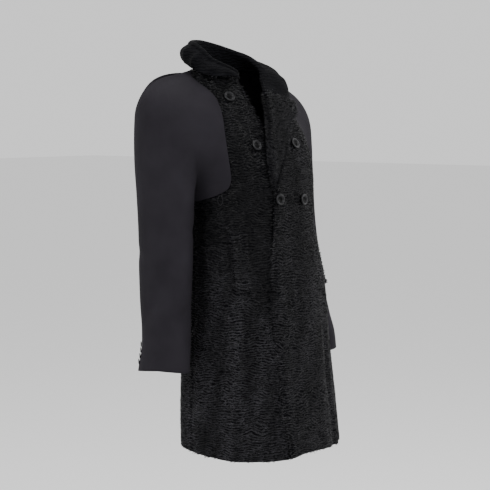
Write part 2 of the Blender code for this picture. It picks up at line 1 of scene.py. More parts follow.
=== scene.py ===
"""Looks of the faux fur coat: fine fur sheets with laid pile, plain cloth sleeves, turned buttons."""

import math

import bpy
import numpy as np
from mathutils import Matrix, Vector


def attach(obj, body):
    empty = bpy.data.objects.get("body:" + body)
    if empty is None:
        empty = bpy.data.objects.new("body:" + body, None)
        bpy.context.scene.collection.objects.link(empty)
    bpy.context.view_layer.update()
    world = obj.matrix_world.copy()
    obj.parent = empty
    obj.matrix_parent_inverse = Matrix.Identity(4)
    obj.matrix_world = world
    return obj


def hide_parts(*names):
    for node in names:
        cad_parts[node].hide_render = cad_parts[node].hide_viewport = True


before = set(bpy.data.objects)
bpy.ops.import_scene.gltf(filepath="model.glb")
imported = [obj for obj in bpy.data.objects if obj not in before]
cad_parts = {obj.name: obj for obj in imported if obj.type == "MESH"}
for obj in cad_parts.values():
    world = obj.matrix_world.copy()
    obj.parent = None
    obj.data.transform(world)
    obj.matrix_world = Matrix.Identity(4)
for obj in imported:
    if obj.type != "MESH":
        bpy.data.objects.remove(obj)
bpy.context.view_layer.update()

# ---- driving sizes ----
HEM_Z = -0.844
UNDERARM_Z = -0.285
FUR_WALL = 0.004
CLOTH_WALL = 0.0025
SEAM_GAP = 0.0003
SEAM_STEEP_Z = -0.210  # below this the raglan seams run flatter and flatter to the underarm
NECK_GAP = 0.0006  # between the panels' neck edges and the collar's stand
LAYER_GAP = 0.0018  # between the two fronts where one lies on the other
FUR_PROUD = 0.001  # the pile stands this far above the sleeve cloth beside it
SIDE_SEAM = 97.0
UNDER_LAP_X = 0.085  # edge of the right front, hidden under the left one
LAP_BLEND = (34.0, 58.0)  # the left front comes down onto the body between these angles
BUTTON_RADIUS = 0.0125
CUFF_BUTTON_RADIUS = 0.006

# Level sections of the body: half width, reach to the front and to the back, squareness.
BODY = (
    # z      half_x  front   back   square
    (-0.844, 0.2100, 0.2430, 0.067, 2.0),
    (-0.764, 0.2065, 0.2344, 0.070, 2.0),
    (-0.677, 0.1990, 0.2250, 0.073, 2.0),
    (-0.557, 0.1870, 0.2155, 0.080, 2.0),
    (-0.466, 0.1770, 0.2070, 0.087, 2.0),
    (-0.391, 0.1680, 0.1925, 0.094, 2.0),
    (-0.335, 0.1625, 0.1790, 0.099, 2.1),
    (-0.268, 0.1600, 0.1740, 0.106, 2.3),
    (-0.210, 0.1630, 0.1600, 0.112, 2.7),
    (-0.157, 0.1660, 0.1380, 0.116, 3.0),
    (-0.120, 0.1660, 0.1170, 0.115, 3.0),
    (-0.090, 0.1610, 0.0990, 0.111, 2.8),
    (-0.060, 0.1480, 0.0820, 0.103, 2.5),
    (-0.030, 0.1250, 0.0700, 0.093, 2.2),
    (0.000, 0.1040, 0.0620, 0.086, 2.0),
    (0.030, 0.0850, 0.0560, 0.080, 2.0),
)

# Soft folds that hang from below the chest: a trough is plus and a ridge is minus.
FOLDS = (
    # angle  lean  width  depth  z_top  z_full
    (-137.0, -4.0, 9.0, 0.0100, -0.30, -0.70),
    (-112.0, 3.0, 8.0, -0.0040, -0.45, -0.75),
    (-84.0, 2.0, 8.0, 0.0060, -0.42, -0.78),
    (-58.0, -3.0, 7.0, 0.0040, -0.50, -0.74),
    (-42.0, -9.0, 8.0, 0.0090, -0.40, -0.66),
    (-27.0, -2.0, 6.0, -0.0045, -0.16, -0.40),
    (9.0, 2.0, 8.0, -0.0030, -0.46, -0.80),
    (27.0, 3.0, 6.0, 0.0070, -0.44, -0.66),
    (44.0, 2.0, 6.0, 0.0065, -0.50, -0.72),
    (68.0, 3.0, 9.0, -0.0040, -0.40, -0.75),
    (92.0, -2.0, 8.0, 0.0070, -0.42, -0.76),
    (122.0, 3.0, 9.0, 0.0090, -0.34, -0.72),
    (151.0, -3.0, 8.0, -0.0050, -0.40, -0.76),
    (176.0, 3.0, 9.0, 0.0080, -0.36, -0.74),
)

# Where the raglan seams cross each height, as angles from the front.
RAGLAN = (
    # z      front  back
    (-0.285, 97.0, 97.0),
    (-0.278, 86.0, 109.0),
    (-0.268, 73.0, 120.0),
    (-0.255, 63.0, 128.0),
    (-0.235, 58.0, 134.0),
    (-0.210, 57.0, 138.0),
    (-0.180, 56.5, 141.0),
    (-0.150, 56.0, 143.0),
    (-0.121, 55.5, 144.5),
    (-0.095, 55.5, 145.0),
    (-0.070, 57.5, 145.0),
    (-0.045, 64.0, 144.5),
    (-0.026, 76.0, 144.0),
    (-0.012, 90.0, 143.0),
    (0.000, 104.0, 141.5),
    (0.012, 117.0, 140.0),
)

# How far the hem rises above HEM_Z, round the body.
HEM = (
    # angle   rise
    (-180.0, 0.028),
    (-140.0, 0.027),
    (-115.0, 0.023),
    (-95.0, 0.016),
    (-80.0, 0.008),
    (-60.0, 0.001),
    (-38.0, 0.001),
    (-27.0, 0.004),
    (-15.0, 0.010),
    (0.0, 0.012),
    (50.0, 0.010),
    (95.0, 0.012),
    (140.0, 0.024),
    (180.0, 0.028),
)
HEM_RISE_TOP = -0.600

# The inner edge of the right front: at the neck, down the open neckline, then under the left front.
RIGHT_EDGE = (
    # z      angle
    (-0.330, 24.5),
    (-0.280, 26.0),
    (-0.235, 27.0),
    (-0.210, 24.0),
    (-0.180, 10.0),
    (-0.150, -3.0),
    (-0.121, -11.0),
    (-0.095, -15.0),
    (-0.070, -18.5),
    (-0.045, -24.0),
    (-0.026, -30.0),
    (-0.012, -46.0),
    (0.000, -74.0),
    (0.012, -106.0),
)

# The edge of the left front: from the hem up to the break, then its roll line. Its neck mirrors
# the right one.
LEFT_EDGE = (
    # z      x
    (-0.840, -0.0820),
    (-0.745, -0.0890),
    (-0.635, -0.0900),
    (-0.505, -0.0945),
    (-0.420, -0.0840),
    (-0.310, -0.0625),
    (-0.255, -0.0600),
    (-0.210, -0.0590),
    (-0.180, -0.0530),
    (-0.150, -0.0400),
    (-0.121, -0.0230),
    (-0.095, -0.0090),
    (-0.070, 0.0030),
    (-0.045, 0.0130),
)

# The folded lapel, from the break up to the gorge: its roll line, its outer edge and how far
# it stands off along the roll and at its tip.
LAPEL = (
    # roll_z   edge_z   edge_x   lift   tip
    (-0.255, -0.253, -0.057, 0.0005, 0.000),
    (-0.235, -0.231, -0.047, 0.0020, 0.000),
    (-0.210, -0.203, -0.027, 0.0040, 0.000),
    (-0.180, -0.172, -0.002, 0.0065, 0.000),
    (-0.150, -0.145, 0.022, 0.0090, 0.000),
    (-0.121, -0.124, 0.046, 0.0100, 0.000),
    (-0.095, -0.106, 0.072, 0.0105, 0.000),
    (-0.070, -0.089, 0.098, 0.0100, 0.002),
    (-0.045, -0.071, 0.116, 0.0090, 0.006),
)

# The collar, from its right end round the back to its left side; its last rows run on into the lapel.
# The angle is plus all the way here: 326 is the wearer's right front and 30 the left front.
COLLAR = (
    # angle  roll_r  roll_z   edge_r  edge_z   bulge   spread
    (30.0, 0.0800, -0.006, 0.1500, -0.056, 0.0090, 30.0),
    (46.0, 0.0790, 0.012, 0.1500, -0.040, 0.0130, 20.0),
    (60.0, 0.0750, 0.023, 0.1470, -0.024, 0.0135, 12.0),
    (75.0, 0.0735, 0.032, 0.1400, -0.006, 0.0130, 5.0),
    (90.0, 0.0750, 0.041, 0.1300, 0.009, 0.0100, 2.0),
    (108.0, 0.0770, 0.049, 0.1200, 0.018, 0.0070, 0.0),
    (130.0, 0.0800, 0.060, 0.1110, 0.024, 0.0080, 0.0),
    (155.0, 0.0830, 0.071, 0.1040, 0.026, 0.0090, 0.0),
    (180.0, 0.0830, 0.078, 0.0980, 0.029, 0.0100, 0.0),
    (205.0, 0.0825, 0.077, 0.0965, 0.029, 0.0100, 0.0),
    (230.0, 0.0825, 0.072, 0.0985, 0.027, 0.0095, 0.0),
    (253.0, 0.0810, 0.065, 0.1050, 0.020, 0.0080, 0.0),
    (271.0, 0.0800, 0.050, 0.1130, 0.008, 0.0060, 0.0),
    (287.0, 0.0785, 0.033, 0.1150, -0.003, 0.0050, 0.0),
    (301.0, 0.0780, 0.024, 0.1120, -0.005, 0.0040, 0.0),
    (314.0, 0.0790, 0.016, 0.1040, -0.004, 0.0030, 0.0),
    (326.0, 0.0790, 0.006, 0.0950, -0.009, 0.0010, 0.0),
)
COLLAR_MIDDLE_Y = 0.012
COLLAR_ROLL = 0.0065

# The arm of a sleeve, as level sections; the wearer's left arm, and the right one is its mirror.
ARM = (
    # z      x       y        half_x  half_y
    (-0.660, 0.2640, -0.0280, 0.0460, 0.0635),
    (-0.645, 0.2624, -0.0280, 0.0460, 0.0630),
    (-0.600, 0.2565, -0.0295, 0.0458, 0.0590),
    (-0.560, 0.2475, -0.0225, 0.0455, 0.0595),
    (-0.500, 0.2380, -0.0120, 0.0455, 0.0635),
    (-0.442, 0.2285, -0.0035, 0.0450, 0.0675),
    (-0.340, 0.2160, 0.0070, 0.0440, 0.0720),
    (-0.265, 0.2100, 0.0130, 0.0455, 0.0765),
    (-0.200, 0.2030, 0.0170, 0.0570, 0.0795),
    (-0.120, 0.1935, 0.0205, 0.0660, 0.0810),
    (-0.070, 0.1900, 0.0225, 0.0650, 0.0790),
)
CUFF_Z = -0.645
CUFF_RISE_OUT = 0.012  # the cuff's outer side lies this far above its inner side
CUFF_DROP_BACK = 0.006
ARM_TOP_INNER_Z = -0.262  # the arm's own tube ends here beside the body
ARM_TOP_OUTER_Z = -0.090
ARM_TOP_BACK_RISE = 0.035
CAP_PULL = 0.60  # how far the cap runs straight on at each end, as a share of its width
CAP_FLAT = (0.78, 1.00)  # the cap comes flatter to the neck between these shares of the way round
CAP_FLAT_SHARE = 0.7
CAP_PULL_SHOULDER_ARM = 0.75  # added to the pull at the shoulder, at the cap's end by the arm
CAP_PULL_SHOULDER_SEAM = 0.50  # the same, at its end by the seam

# Each pocket welt lies on these columns of the front, counted from the side seam, and these rows.
WELT_COLUMNS = (5, 7)
WELT_ROWS = (-0.475, -0.345)
WELT_WALL = 0.003
WELT_BULGE = 0.003

FRONT_COLUMNS = 20  # of the solids, which place the welts
LAPEL_SINK = 0.15  # share of a lapel's stand-off that is gone at its outer edge
ARM_END_STEP = 0.020  # the arm's direction at its top is taken over this height

# Front buttons: place across, height, and 1 for those that stand on the front that laps over.
BUTTONS = (
    # name                     x        z       layer
    ("button_right_top", -0.0880, -0.0515, 0.0),
    ("button_right_chest", -0.0770, -0.1580, 0.0),
    ("button_right_waist", -0.0480, -0.2760, 1.0),
    ("button_left_chest", 0.0460, -0.1580, 1.0),
    ("button_left_waist", 0.0310, -0.2790, 1.0),
)

CUFF_BUTTON_HEIGHTS = (-0.588, -0.6005, -0.613, -0.6255)
CUFF_BUTTON_TURN = 232.0  # where the cuff buttons stand round the arm: 270 is the back
CUFF_BUTTON_ARC = 2.0  # the cuff's direction there is taken this far to each side

# ---- finer sizes of the looks ----
# How many points the sheets have.
PANEL_COLUMNS = 96
PANEL_SKIRT_ROWS = 88
PANEL_TOP_ROWS = 62
UNDERARM_STEP = 0.002  # from the skirt's last row up to the underarm
WELT_COLUMN_POINTS = 18
WELT_ROW_POINTS = 60
LAPEL_ROWS = 90
ROLL_POINTS = 10
FALL_POINTS = 30
STAND_POINTS = 6
COLLAR_FINE_STEP = 1.6  # in degrees
COLLAR_JOIN_ROWS = 15  # from the collar's left end to the lapel
NECK_POINTS = 80
SLEEVE_ROWS = 90
SLEEVE_CAP_ROWS = 46
SEAM_POINTS = 64
SEAM_BUNCHING = 1.5  # crowds a raglan seam's points toward the underarm

# The fur cloth and its lines.
FUR_BASE = 0.0016  # the cloth under the pile lies this far inside the solid's outer face
FUR_TOP = 0.0008  # blades on a ripple's crest reach about this far outside it
WAVE_LENGTHS = (0.11, 0.062, 0.036, 0.021)  # of the smooth field behind lumps and ripples
WAVES_PER_LENGTH = 3
WAVE_TOTAL = 0.30  # brings that field to about -1 to 1
UNEVENNESS = 0.0008
UNEVEN_SEED = 5
SEAM_DIP = 0.0016
SEAM_DIP_WIDTH = 0.005
SEAM_BARE = 0.7  # share of the blades that is missing in a seam
EDGE_LINE = 0.0032  # depth of the line along a front's free edge
EDGE_LINE_IN = 0.009
LINE_WIDTH = 0.0030
CREASE_END = 0.35  # depth of a crease's ends, as a share of its middle's
LAPEL_GROOVE = 0.0034  # depth of the groove in the front beside the lapel's free edge
LAPEL_GROOVE_WIDTH = 0.0042
LAPEL_GROOVE_OUT = 0.0045
LAPEL_RIM = 0.0030  # height of the lapel's raised free edge
LAPEL_RIM_SHARE = 0.05
COLLAR_LUMPS = 0.0034
COLLAR_SEED = 8
STAND_TUCK = 0.0035  # the stand runs this far down inside the neck edge, to hide the gap
NECK_LOW_Z = -0.026  # where the collar's neck edge starts
WELT_RIM = 0.0038
WELT_RIM_BEHIND = (-0.86, 0.16)  # the rim's place and width, as shares of half the welt
WELT_RIM_BELOW = (-0.94, 0.06)  # the same, along its height
WELT_EDGE = (6, 16)  # how steeply it rises at its sides and ends
WELT_EDGE_LOW = 0.3  # share of its height left at its very edge

# The pile: blades that lie along wavy ripples.
RIPPLE_PITCH = 0.0054
BROAD_SWIRL = 5.0  # how far the ripples wander, as a phase
FINE_SWIRL = 3.0
FINE_SWIRL_SCALE = 2.6
SWIRL_SEEDS = (11, 12)
SWIRL_STEP = 0.001  # their direction is taken over this length
PLACES_TRIED = 3.6  # for each blade that is kept
TROUGH_PILE = 0.03  # how many blades lie between two ripples, of those on a crest
TROUGH_LIFT = 0.15  # and how high, in the same way
BLADE_LENGTH = 0.0062
BLADE_WIDTH = 0.0011
BLADE_TAPER = 0.35
ROOT_HEIGHT = 0.35  # of its tip's height
ROOT_SINK = 0.0004
TILT_SPREAD = 0.22  # about the ripple's direction, in radians
STRAY_SHARE = 0.08  # of the blades lie further aside
STRAY_TILT = 1.2
ROLL_SPREAD = 0.5

# The pile of each fur piece: how many blades, and the seed that scatters them.
PILE = {
    "back": (78000, 21),
    "front_right": (80000, 22),
    "front_left": (84000, 23),
    "lapel_left": (16000, 24),
    "collar": (26000, 25),
    "pocket_welt_right": (2200, 26),
    "pocket_welt_left": (2200, 27),
}

# Small dents and ridges in the fur panels, from one place to another, as (angle, height).
FUR_CREASES = (
    # angle  z      angle  z      width   depth
    (-56.2, -0.260, -54.0, -0.318, 0.0035, -0.0018),
    (-58.5, -0.262, -56.5, -0.318, 0.0045, 0.0020),
    (-54.2, -0.470, -42.0, -0.472, 0.0045, 0.0026),
    (-53.5, -0.064, -43.8, -0.114, 0.0070, -0.0022),
    (-42.0, -0.072, -38.0, -0.100, 0.0120, 0.0030),
    (-68.0, -0.350, -67.0, -0.476, 0.0040, 0.0024),
    (-66.0, -0.481, -54.0, -0.479, 0.0040, 0.0026),
    (-70.0, -0.520, -62.0, -0.560, 0.0080, 0.0020),
    (-84.0, -0.360, -76.0, -0.350, 0.0070, 0.0018),
    (38.0, -0.330, 50.0, -0.340, 0.0070, 0.0018),
    (60.0, -0.560, 68.0, -0.600, 0.0080, 0.0020),
    (128.0, -0.420, 142.0, -0.430, 0.0080, 0.0020),
    (205.0, -0.400, 220.0, -0.390, 0.0080, 0.0020),
    (170.0, -0.250, 186.0, -0.255, 0.0090, 0.0018),
)

# Folds that run down the collar's fall.
COLLAR_FOLDS = (
    # angle  width  depth
    (268.0, 5.0, 0.0085),
    (291.0, 4.0, 0.0045),
    (244.0, 6.0, 0.0045),
    (200.0, 7.0, 0.0015),
    (150.0, 7.0, 0.0015),
    (104.0, 6.0, 0.0025),
    (74.0, 5.0, 0.0018),
)

LOOP_PLACE = (-68.4, -0.276)  # angle and height of the thread loop
LOOP_SIZE = (0.0055, 0.0105, 0.0009)  # half width, half height and radius of its thread
LOOP_LIFT = 0.0016
LOOP_POINTS = 32
THREAD_SIDES = 8
BODY_GIRTH = 0.17  # an angle counts as an arc of this radius where creases are laid out
ARM_GIRTH = 0.055

# Creases in the sleeve cloth, from one place to another, as (turn, height).
CREASES = (
    # turn   z      turn   z      width   depth
    (150.0, -0.47, 215.0, -0.55, 0.010, 0.0030),
    (120.0, -0.40, 190.0, -0.43, 0.012, 0.0020),
    (95.0, -0.33, 20.0, -0.36, 0.012, 0.0025),
    (60.0, -0.50, 130.0, -0.53, 0.012, 0.0018),
    (250.0, -0.38, 190.0, -0.42, 0.012, 0.0022),
    (300.0, -0.34, 250.0, -0.40, 0.013, 0.0022),
    (60.0, -0.26, 25.0, -0.34, 0.010, 0.0040),
    (110.0, -0.20, 70.0, -0.24, 0.014, 0.0020),
)
CREASE_FADE = (0.6, 1.0)  # shares of the way up the cap between which these creases end

# The buttons: radius, height of the rim, radius of its bead, the dark middle's share, sides.
FRONT_BUTTON = (BUTTON_RADIUS, 0.0044, 0.0021, 0.60, 56)
CUFF_BUTTON = (CUFF_BUTTON_RADIUS, 0.0016, 0.0012, 0.40, 32)
SHANK_LIFT = 0.0006
SHANK_SHARES = (0.22, 0.24)  # its radius at the foot and the top, of the button's
RIM_TURNS = (-1.5, 2.9)  # where the rim's bead starts and ends, in radians from straight outward
RIM_HIGHLIGHT_TURN = 0.2  # the bead is paler above this turn: a painted highlight on its top
RIM_POINTS = 16
DISH_SHARE = 0.9  # the dish's radius, of the dark middle's
DISH_SINK = (0.3, 0.4)  # how deep it lies at its side and in its middle, of the bead's radius


# ---- smooth tables ----
def cubic(start, leave, end, arrive, t):
    """A smooth run from start to end, with the given slopes at its ends."""
    return (
        start * (1 + 2 * t) * (1 - t) ** 2
        + leave * t * (1 - t) ** 2
        + end * t**2 * (3 - 2 * t)
        + arrive * t**2 * (t - 1)
    )


def track(table, column):
    """A smooth curve through one column of a table, against the table's first column."""
    order = np.argsort([row[0] for row in table])
    places = np.array([table[i][0] for i in order])
    values = np.array([table[i][column] for i in order])
    slopes = np.gradient(values, places)

    def value(place):
        place = np.clip(place, places[0], places[-1])
        i = np.clip(np.searchsorted(places, place, side="right") - 1, 0, len(places) - 2)
        step = places[i + 1] - places[i]
        t = (place - places[i]) / step
        return cubic(values[i], slopes[i] * step, values[i + 1], slopes[i + 1] * step, t)

    return value


def ridge(apart, width):
    """A soft round ridge: 1 in its middle, near 0 two widths away."""
    return np.exp(-((apart / width) ** 2))


def smooth_step(low, high, value):
    t = np.clip((value - low) / (high - low), 0.0, 1.0)
    return t * t * (3 - 2 * t)


body_half, body_front, body_back, body_square = (track(BODY, i) for i in range(1, 5))
arm_x, arm_y, arm_half_x, arm_half_y = (track(ARM, i) for i in range(1, 5))
collar_tracks = [track(COLLAR, i) for i in range(1, 7)]
lapel_tracks = [track(LAPEL, i) for i in range(1, 5)]
raglan_front, raglan_back = (track(RAGLAN, i) for i in (1, 2))
right_edge = track(RIGHT_EDGE, 1)
left_edge_x = track(LEFT_EDGE, 1)
hem_rise = track(HEM, 1)


# ---- the body's surface ----
def fold_depth(angle, z):
    depth = np.zeros(np.broadcast(angle, z).shape)
    for place, lean, width, most, z_top, z_full in FOLDS:
        grown = smooth_step(0.0, 1.0, (z_top - z) / (z_top - z_full))
        centre = place + lean * (z_top - z) / (z_top - HEM_Z)
        apart = (angle - centre + 180.0) % 360.0 - 180.0
        depth = depth + most * grown * ridge(apart, width)
    return depth


def body_point(angle, z):
    """Points of the body's outer surface."""
    half, front, back, square = (f(z) for f in (body_half, body_front, body_back, body_square))
    middle, depth = (back - front) / 2, (back + front) / 2
    across, along = np.sin(np.radians(angle)), np.cos(np.radians(angle))
    reach = (np.abs(across / half) ** square + np.abs(along / depth) ** square) ** (-1 / square)
    reach = reach - fold_depth(angle, z)
    return np.stack(np.broadcast_arrays(reach * across, middle - reach * along, z), axis=-1)


def unit(vectors):
    return vectors / np.maximum(np.linalg.norm(vectors, axis=-1, keepdims=True), 1e-12)


def body_normal(angle, z):
    turn, rise = 0.5, 0.002
    round_ = body_point(angle + turn, z) - body_point(angle - turn, z)
    up = body_point(angle, z + rise) - body_point(angle, z - rise)
    return unit(np.cross(round_, up))


def on_body(angle, z, lift):
    """Points that stand off the body's surface by the given lift."""
    angle, z, lift = np.broadcast_arrays(*(np.asarray(v, float) for v in (angle, z, lift)))
    return body_point(angle, z) + body_normal(angle, z) * lift[..., None]


def angle_at(x, z):
    """The angle at which the front of the body lies at the given distance across."""
    side, halvings = 89.0, 40
    low = np.full(np.shape(z), -side)
    high = -low
    for _ in range(halvings):
        mid = (low + high) / 2
        short = body_point(mid, z)[..., 0] < x
        low, high = np.where(short, mid, low), np.where(short, high, mid)
    return (low + high) / 2


def lap_lift(angle):
    return (FUR_WALL + LAYER_GAP) * (1 - smooth_step(*LAP_BLEND, angle))


def no_lift(angle):
    return 0.0 * angle


def hem_lifted(angle, z):
    share = smooth_step(0.0, 1.0, (HEM_RISE_TOP - z) / (HEM_RISE_TOP - HEM_Z))
    return z + hem_rise((angle + 180.0) % 360.0 - 180.0) * share


# ---- meshes ----
def placed(name, data):
    """A new object in the scene."""
    made = bpy.data.objects.new(name, data)
    bpy.context.scene.collection.objects.link(made)
    return made


def new_object(name, points, faces, finish):
    mesh = bpy.data.meshes.new(name)
    mesh.from_pydata(np.asarray(points).reshape(-1, 3).tolist(), [], faces)
    mesh.update()
    mesh.shade_smooth()
    mesh.materials.append(finish)
    return placed(name, mesh)


def grid_normals(grid, round_=False):
    """Unit normals of a grid of points, by the differences between its rows and columns."""
    if round_:
        along = np.roll(grid, -1, axis=1) - np.roll(grid, 1, axis=1)
    else:
        along = np.gradient(grid, axis=1)
    return unit(np.cross(along, np.gradient(grid, axis=0)))


def sheet_object(name, outer, inner, finish, round_=False):
    """A closed wall between two grids of points."""
    rows, columns = outer.shape[:2]
    index = np.arange(rows * columns).reshape(rows, columns)
    if round_:
        index = np.concatenate((index, index[:, :1]), axis=1)
    a, b, c, d = index[:-1, :-1], index[:-1, 1:], index[1:, 1:], index[1:, :-1]
    shift = rows * columns
    front = np.stack((a, b, c, d), axis=-1).reshape(-1, 4)
    rims = [index[0], index[-1, ::-1]]
    if not round_:
        rims += [index[:, -1], index[::-1, 0]]
    edges = np.concatenate([np.stack((rim[1:], rim[:-1]), axis=1) for rim in rims])
    edge = np.concatenate((edges, edges[:, ::-1] + shift), axis=1)
    faces = np.concatenate((front, front[:, ::-1] + shift, edge))
    points = np.concatenate((outer.reshape(-1, 3), inner.reshape(-1, 3)))
    return new_object(name, points, faces.tolist(), finish)


# ---- the pile ----
def wobble(points, seed):
    """A smooth field between about -1 and 1, from waves in seeded directions."""
    rng = np.random.default_rng(seed)
    total = np.zeros(points.shape[:-1])
    for scale in WAVE_LENGTHS:
        for _ in range(WAVES_PER_LENGTH):
            direction = unit(rng.normal(size=3)) * 2 * math.pi / scale
            total = total + np.sin(points @ direction + rng.uniform(0, 2 * math.pi)) * scale
    return total / WAVE_TOTAL


def swirl(points):
    """How far the ripples wander from level, as a phase."""
    broad, fine = SWIRL_SEEDS
    return BROAD_SWIRL * wobble(points, broad) + FINE_SWIRL * wobble(points * FINE_SWIRL_SCALE, fine)


def scatter(rng, grid, count, fields):
    """The values of some fields of a grid at places spread evenly over its area."""
    diagonal = grid[1:, 1:] - grid[:-1, :-1], grid[1:, :-1] - grid[:-1, 1:]
    areas = np.linalg.norm(np.cross(*diagonal), axis=-1).ravel()
    where = rng.choice(len(areas), size=count, p=areas / areas.sum())
    i, j = np.divmod(where, grid.shape[1] - 1)
    s, t = rng.random(count)[:, None], rng.random(count)[:, None]
    values = []
    for field in fields:
        low = field[i, j] * (1 - s) + field[i, j + 1] * s
        high = field[i + 1, j] * (1 - s) + field[i + 1, j + 1] * s
        values.append(low * (1 - t) + high * t)
    return values


def ripple_ways(root, normal, slope):
    """The directions along the ripples and across them, in the cloth at each root."""
    down = unit(slope - normal * np.sum(slope * normal, axis=1, keepdims=True))
    across = np.cross(down, normal)
    aside, fall = (
        (swirl(root + way * SWIRL_STEP) - swirl(root - way * SWIRL_STEP)) / (2 * SWIRL_STEP)
        for way in (across, down)
    )
    fall = fall + 2 * math.pi / RIPPLE_PITCH
    ripple = unit(across * fall[:, None] - down * aside[:, None])
    return ripple, np.cross(normal, ripple)


def pile(name, grid, reach, slope, bare, finish):
    """Short blades that lie along wavy ripples: a quad each, with its root in the cloth."""
    wanted, seed = PILE[name]
    rng = np.random.default_rng(seed)
    count = int(wanted * PLACES_TRIED)
    fields = (grid, grid_normals(grid), reach, slope, bare)
    root, normal, reach, slope, bare = scatter(rng, grid, count, fields)
    crest = 0.5 + 0.5 * np.sin(2 * math.pi * reach[:, 0] / RIPPLE_PITCH + swirl(root))
    chance = (TROUGH_PILE + (1 - TROUGH_PILE) * crest**3) * (1 - np.minimum(bare[:, 0], 1.0))
    kept = np.flatnonzero(rng.random(count) < chance)[:wanted]
    root, normal, slope, crest = root[kept], unit(normal[kept]), slope[kept], crest[kept]
    count = len(kept)
    ripple, aside = ripple_ways(root, normal, slope)
    tilt = rng.normal(0.0, TILT_SPREAD, count)
    tilt = tilt + (rng.random(count) < STRAY_SHARE) * rng.normal(0.0, STRAY_TILT, count)
    way = unit(ripple * np.cos(tilt)[:, None] + aside * np.sin(tilt)[:, None])
    way = way * np.where(rng.random(count) < 0.5, -1.0, 1.0)[:, None]
    length = BLADE_LENGTH * (0.6 + 0.6 * rng.random(count)) * (0.7 + 0.4 * crest)
    width = BLADE_WIDTH * (0.7 + 0.6 * rng.random(count))
    lift = (FUR_TOP + FUR_BASE) * (TROUGH_LIFT + (1 - TROUGH_LIFT) * crest)
    lift = lift * (0.7 + 0.5 * rng.random(count))
    edge = unit(np.cross(normal, way)) * (width / 2)[:, None]
    roll = rng.normal(0.0, ROLL_SPREAD, count)[:, None]
    edge = edge * np.cos(roll) + normal * (width / 2)[:, None] * np.sin(roll)
    tip = root + way * length[:, None] + normal * lift[:, None]
    low = root + normal * (lift * ROOT_HEIGHT - ROOT_SINK)[:, None]
    end = edge * BLADE_TAPER
    points = np.stack((low - edge, low + edge, tip + end, tip - end), axis=1)
    faces = np.arange(count * 4).reshape(-1, 4).tolist()
    made = new_object(name + "_pile", points, faces, finish)
    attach(made, "root")
    return made


def fur_piece(name, faces, finish, around=False):
    """A fur sheet with its pile; the ripples run level, or along a collar that goes around."""
    outer, inner, *bare = faces
    bare = bare[0] if bare else np.zeros(outer.shape[:2])
    if around:
        steps = np.linalg.norm(np.diff(outer, axis=1), axis=-1)
        reach = np.concatenate((np.zeros((len(outer), 1)), np.cumsum(steps, axis=1)), axis=1)[..., None]
        slope = np.gradient(outer, axis=1)
    else:
        reach = -outer[..., 2:]
        slope = np.zeros(outer.shape) - (0.0, 0.0, 1.0)
    made = sheet_object(name + "_sheet", outer, inner, FUR_CLOTH)
    hairs = pile(name, outer, reach, unit(slope), bare[..., None], finish)
    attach(made, "root")
    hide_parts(name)


# ---- the fur panels ----
def front_seam(z):
    return np.where(z < UNDERARM_Z, SIDE_SEAM, raglan_front(z)) - np.degrees(SEAM_GAP / body_half(z))


def right_limits(z):
    end = np.where(z < RIGHT_EDGE[0][0], angle_at(UNDER_LAP_X, z), right_edge(z))
    return -front_seam(z), end


def left_limits(z):
    start = np.where(z > LEFT_EDGE[-1][0], -right_edge(z), angle_at(left_edge_x(z), z))
    return start, front_seam(z)


def back_limits(z):
    start = np.where(z < UNDERARM_Z, SIDE_SEAM, raglan_back(z)) + np.degrees(SEAM_GAP / body_half(z))
    return start, 360.0 - start


def panel_heights():
    """Row heights, closer together over the underarm curve and the neck."""
    skirt = np.linspace(HEM_Z, UNDERARM_Z - UNDERARM_STEP, PANEL_SKIRT_ROWS)
    return np.concatenate((skirt, np.linspace(UNDERARM_Z, RAGLAN[-1][0], PANEL_TOP_ROWS)))


def crease_depth(creases, girth, angle, z):
    """How far the creases push the cloth in at each place."""
    depth = np.zeros(np.broadcast(angle, z).shape)
    here = np.stack(np.broadcast_arrays(np.radians(angle) * girth, z), axis=-1)
    for angle_a, z_a, angle_b, z_b, width, most in creases:
        start = np.array((math.radians(angle_a) * girth, z_a))
        run = np.array((math.radians(angle_b) * girth, z_b)) - start
        share = np.clip((here - start) @ run / (run @ run), 0.0, 1.0)
        apart = np.linalg.norm(here - start - share[..., None] * run, axis=-1)
        whole = CREASE_END + (1 - CREASE_END) * np.sin(math.pi * share)
        depth = depth + most * ridge(apart, width) * whole
    return depth


def beside_lapel(angle, z):
    """How much of the groove along the lapel's free edge lies at each place, from 0 to 1."""
    heights = np.linspace(LAPEL[0][0], LAPEL[-1][0], LAPEL_ROWS)
    edge_z, edge_x = lapel_tracks[0](heights), lapel_tracks[1](heights)
    edge = np.stack((np.radians(angle_at(edge_x, edge_z)) * BODY_GIRTH, edge_z), axis=-1)
    along = unit(np.gradient(edge, axis=0))
    edge = edge + np.stack((along[:, 1], -along[:, 0]), axis=-1) * LAPEL_GROOVE_OUT
    here = np.stack((np.radians(angle) * BODY_GIRTH, z), axis=-1)
    apart = np.min(np.linalg.norm(here[:, :, None] - edge, axis=-1), axis=-1)
    return ridge(apart, LAPEL_GROOVE_WIDTH)


